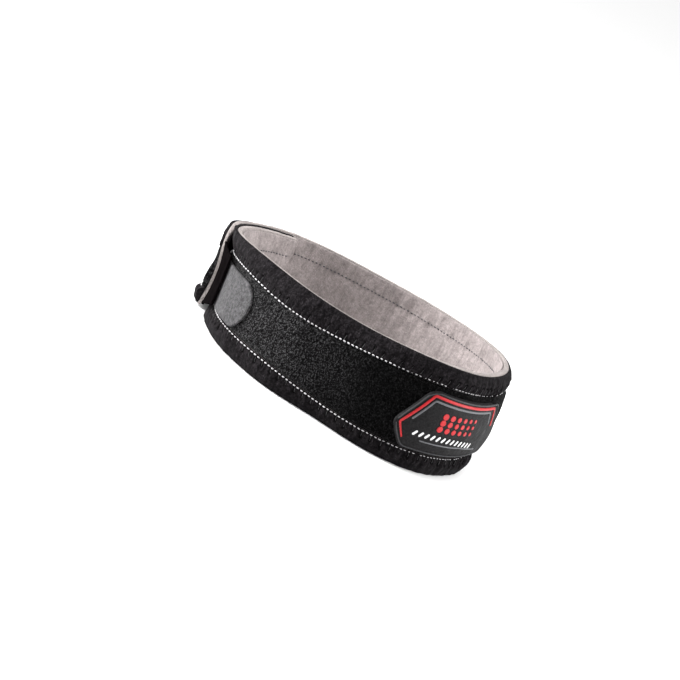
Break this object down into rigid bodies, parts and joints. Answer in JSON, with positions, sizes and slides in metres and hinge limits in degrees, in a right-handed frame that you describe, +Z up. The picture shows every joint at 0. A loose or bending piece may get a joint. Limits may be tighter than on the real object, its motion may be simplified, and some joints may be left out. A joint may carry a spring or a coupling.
{
  "type": "patella strap",
  "caption": "Padded neoprene loop worn below the kneecap, taller at the front, closed by a hook tab under an overlapping flap.",
  "frame": {"origin": "centre of the bounding box in plan, on the plane of the lower rim", "axes": "+Z up along the leg's axis, the lower rim on z = 0; -Y is the front of the knee, where the patch sits; the flap's end is at the back, on the -X side"},
  "size_m": [0.1234, 0.143, 0.0444],
  "materials": {
    "foam_core": "light grey closed-cell foam, seen only along the cut edges",
    "lining": "light grey jersey lining",
    "flap_facing": "black facing inside the end of the flap",
    "upper_margin": "smooth black stretch knit",
    "lower_margin": "smooth black stretch knit",
    "loop_panel": "brushed black loop fabric",
    "hook_tab": "light grey woven backing of the hook tape",
    "patch": "moulded charcoal patch, satin",
    "patch_border": "raised red line",
    "patch_ridge": "raised grey line"
  },
  "bodies": {
    "root": {"foam_core": "foam_core", "lining": "lining", "flap_facing": "flap_facing", "upper_margin": "upper_margin", "lower_margin": "lower_margin", "loop_panel": "loop_panel", "hook_tab": "hook_tab", "patch": "patch", "patch_border": "patch_border", "patch_ridge": "patch_ridge"}
  },
  "joints": []
}
